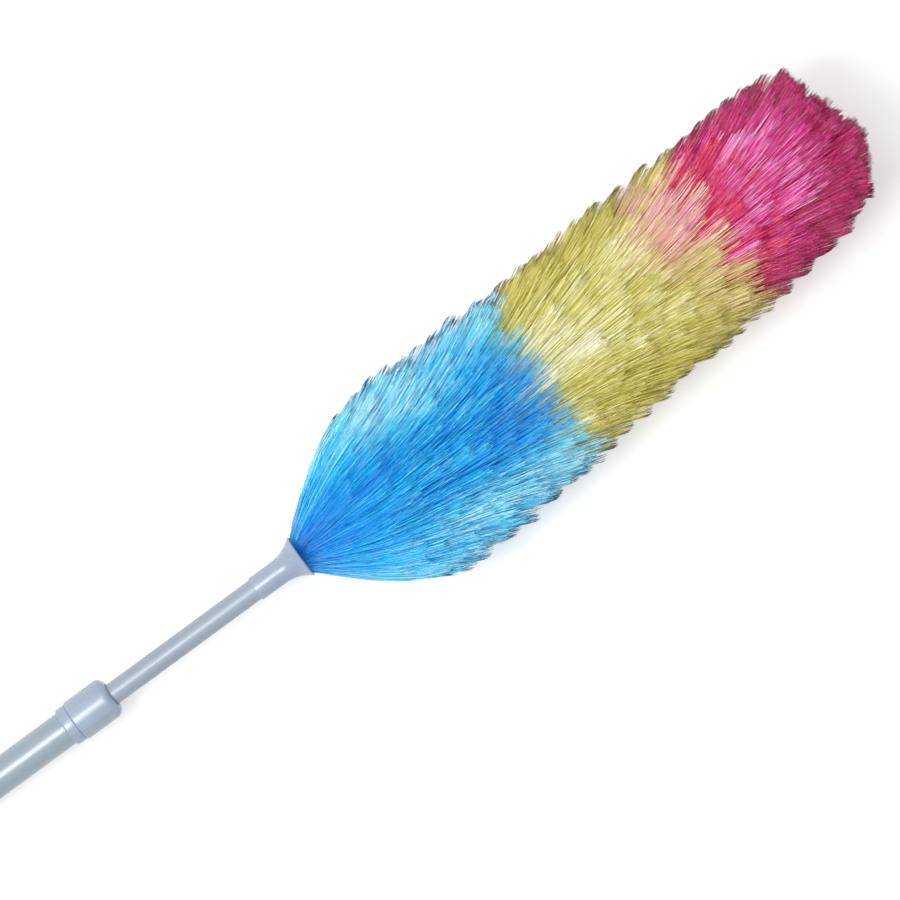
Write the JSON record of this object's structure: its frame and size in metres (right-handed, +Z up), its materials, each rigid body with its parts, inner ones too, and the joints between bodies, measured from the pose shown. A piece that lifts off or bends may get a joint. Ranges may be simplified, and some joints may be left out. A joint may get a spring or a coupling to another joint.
{
  "type": "telescopic static duster",
  "caption": "Telescopic duster: two coated steel tubes with a twist-lock collar, a flared ferrule and a long head of blue, yellow and pink polypropylene fibres on a wire core.",
  "frame": {"origin": "under the middle of the duster, on the surface it lies on", "axes": "+X along the duster from the handle to the head's tip, +Z up from the surface, +Y to the left seen from above with the head ahead"},
  "size_m": [1.0494, 0.1358, 0.12],
  "materials": {
    "outer_tube_coat": "gloss",
    "inner_tube_coat": "gloss",
    "pole_plastic": "satin",
    "ferrule_plastic": "satin",
    "hidden_plastic": "satin",
    "wire_steel": "satin",
    "blue_fibre": "satin",
    "yellow_fibre": "satin",
    "pink_fibre": "satin"
  },
  "bodies": {
    "outer_pole": {"outer_tube": "outer_tube_coat", "hand_grip": "pole_plastic", "end_cap": "pole_plastic", "collar_base": "pole_plastic", "clamp_ring": "hidden_plastic"},
    "lock_nut": {"lock_nut": "pole_plastic"},
    "pole_guide": {"guide_bush": "hidden_plastic"},
    "inner_pole": {"inner_tube": "inner_tube_coat", "stop_ring": "hidden_plastic", "bottom_plug": "hidden_plastic", "ferrule": "ferrule_plastic", "core_plug": "hidden_plastic", "core_wire_a": "wire_steel", "core_wire_b": "wire_steel", "tip_cap": "hidden_plastic", "blue_fibre_row_1": "blue_fibre", "blue_fibre_row_2": "blue_fibre", "blue_fibre_row_3": "blue_fibre", "blue_fibre_row_4": "blue_fibre", "blue_fibre_row_5": "blue_fibre", "yellow_fibre_row_1": "yellow_fibre", "yellow_fibre_row_2": "yellow_fibre", "yellow_fibre_row_3": "yellow_fibre", "yellow_fibre_row_4": "yellow_fibre", "pink_fibre_row_1": "pink_fibre", "pink_fibre_row_2": "pink_fibre", "pink_fibre_row_3": "pink_fibre", "pink_tip_tuft": "pink_fibre"}
  },
  "joints": [
    {"name": "lock_nut_twist", "type": "hinge", "parent": "outer_pole", "child": "lock_nut", "pos_m": [-0.05328, -0.00297, 0.03744], "axis": [0.9987, 0, 0.0506], "range_deg": [0, 120]},
    {"name": "pole_slide", "type": "slide", "parent": "outer_pole", "child": "pole_guide", "axis": [0.9987, 0, 0.0506], "range_m": [-0.106, 0.246]},
    {"name": "pole_spin", "type": "hinge", "parent": "pole_guide", "child": "inner_pole", "pos_m": [-0.0393, -0.00297, 0.03815], "axis": [0.9987, 0, 0.0506], "continuous": true}
  ]
}
